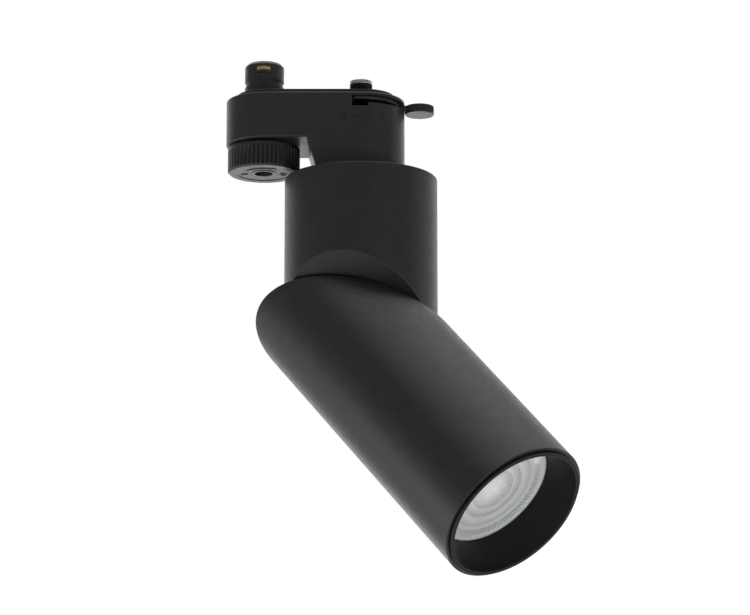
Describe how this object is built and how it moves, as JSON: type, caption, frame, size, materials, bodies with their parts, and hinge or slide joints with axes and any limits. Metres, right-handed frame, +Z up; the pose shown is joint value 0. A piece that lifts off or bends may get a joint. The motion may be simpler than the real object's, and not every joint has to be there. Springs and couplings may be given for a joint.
{
  "type": "track spotlight",
  "caption": "Black track spotlight: flat adapter with locking knob and lever, a round canister that pans, and an equal round head that swivels on an oblique joint",
  "frame": {"origin": "centre of the adapter's seat face, the plane that is pressed against the underside of the track", "axes": "+Z up out of the seat face into the track, +X along the track from the knob to the lever's button, -Y to the side with the lever slot's notch"},
  "size_m": [0.1353, 0.107, 0.2091],
  "materials": {
    "black_paint": "fine matt black powder coat",
    "black_plastic": "satin black moulded plastic",
    "baffle_plastic": "matt black moulded plastic",
    "zinc_steel": "bright zinc plate",
    "brass": "plain brass",
    "white_plastic": "white moulded plastic",
    "white_ceramic": "unglazed white ceramic",
    "lens_plastic": "clear lens over a pale reflector",
    "board_aluminium": "plain aluminium",
    "cable_sheath": "white silicone sheath",
    "live_sleeve": "brown insulation",
    "neutral_sleeve": "blue insulation"
  },
  "bodies": {
    "adapter": {"adapter_housing_front": "black_plastic", "adapter_housing_rear": "black_plastic", "seat_plate": "black_plastic", "housing_screw_1": "zinc_steel", "housing_screw_2": "zinc_steel", "housing_screw_3": "zinc_steel", "contact_disc": "white_plastic", "live_lead": "live_sleeve", "neutral_lead": "neutral_sleeve", "pan_washer": "zinc_steel"},
    "knob": {"locking_knob": "black_plastic", "knob_spindle": "white_plastic", "knob_screw": "zinc_steel", "contact_rotor": "black_plastic", "live_contact": "brass", "neutral_contact": "brass"},
    "lever": {"lock_lever": "black_plastic", "lock_tongue": "zinc_steel", "tongue_screw": "zinc_steel"},
    "canister": {"canister_top_cap": "black_paint", "canister_shell": "black_paint", "pan_nipple": "zinc_steel", "pan_stop_washer": "zinc_steel", "pan_nut_upper": "zinc_steel", "pan_nut_lower": "zinc_steel", "terminal_block": "white_plastic", "upper_cable": "cable_sheath", "lower_cable": "cable_sheath", "swivel_nipple": "zinc_steel", "swivel_nut": "zinc_steel", "swivel_friction_washer": "white_plastic", "swivel_spring_washer": "zinc_steel", "swivel_lock_nut": "zinc_steel", "swivel_stop_pin": "zinc_steel"},
    "head": {"head_shell": "black_paint", "lampholder_bracket": "zinc_steel", "lampholder": "white_ceramic", "lampholder_screw_1": "zinc_steel", "lampholder_screw_2": "zinc_steel", "head_cable": "cable_sheath"},
    "lamp": {"lamp_body": "white_plastic", "lamp_lens": "lens_plastic", "led_board": "board_aluminium", "lamp_base": "white_ceramic", "lamp_pin_1": "brass", "lamp_pin_2": "brass"},
    "baffle": {"baffle_ring": "baffle_plastic"}
  },
  "joints": [
    {"name": "knob_turn", "type": "hinge", "parent": "adapter", "child": "knob", "pos_m": [-0.0203, 0, 0], "axis": [0, 0, 1], "range_deg": [-90, 0]},
    {"name": "lever_swing", "type": "hinge", "parent": "adapter", "child": "lever", "pos_m": [0.018, 0, 0], "axis": [0, 0, 1], "range_deg": [-90, 0]},
    {"name": "pan", "type": "hinge", "parent": "adapter", "child": "canister", "pos_m": [0.018, 0, 0], "axis": [0, 0, 1], "range_deg": [-165, 165]},
    {"name": "head_swivel", "type": "hinge", "parent": "canister", "child": "head", "pos_m": [0.018, 0, -0.0993], "axis": [-0.1996, -0.6783, -0.7071], "range_deg": [-231.1, 98.9]},
    {"name": "lamp_twist", "type": "hinge", "parent": "head", "child": "lamp", "pos_m": [0.018, 0, -0.0993], "axis": [0.5362, -0.4679, -0.7026], "range_deg": [0, 20]},
    {"name": "baffle_pull", "type": "slide", "parent": "head", "child": "baffle", "axis": [0.5362, -0.4679, -0.7026], "range_m": [0, 0.03]}
  ]
}
